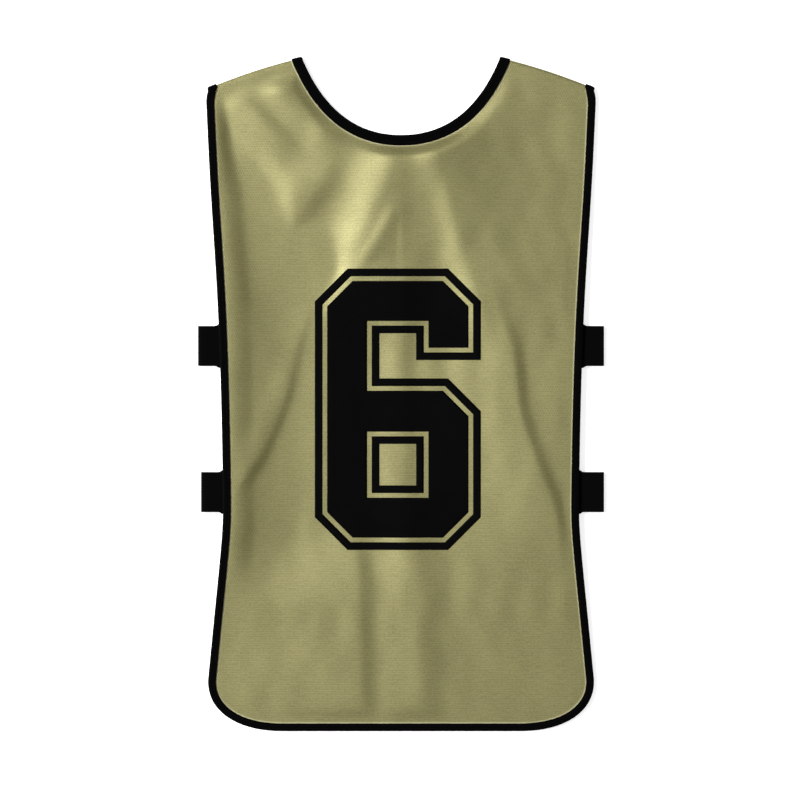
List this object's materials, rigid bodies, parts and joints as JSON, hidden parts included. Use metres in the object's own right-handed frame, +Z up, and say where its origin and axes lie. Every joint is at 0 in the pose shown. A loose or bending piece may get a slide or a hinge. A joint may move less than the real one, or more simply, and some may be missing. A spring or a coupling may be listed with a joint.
{
  "type": "mesh training bib",
  "caption": "Sleeveless mesh training bib laid flat, with a scooped neck, black bound edges and elastic side straps.",
  "frame": {"origin": "middle of the laid garment's footprint, on the surface it rests on", "axes": "+X towards the right of the front panel as seen from above, +Y towards the neck, +Z up, out of the front panel"},
  "size_m": [0.406, 0.6743, 0.0105],
  "materials": {
    "cloth": "shiny polyester tricot mesh, olive gold",
    "binding": "matte black folded knit tape",
    "elastic": "matte black ribbed elastic webbing",
    "print": "matte black screen print"
  },
  "bodies": {
    "root": {"front_panel": "cloth", "back_panel": "cloth", "neck_binding": "binding", "edge_binding": "binding", "strap_upper_left": "elastic", "strap_upper_right": "elastic", "strap_lower_left": "elastic", "strap_lower_right": "elastic"}
  },
  "joints": []
}
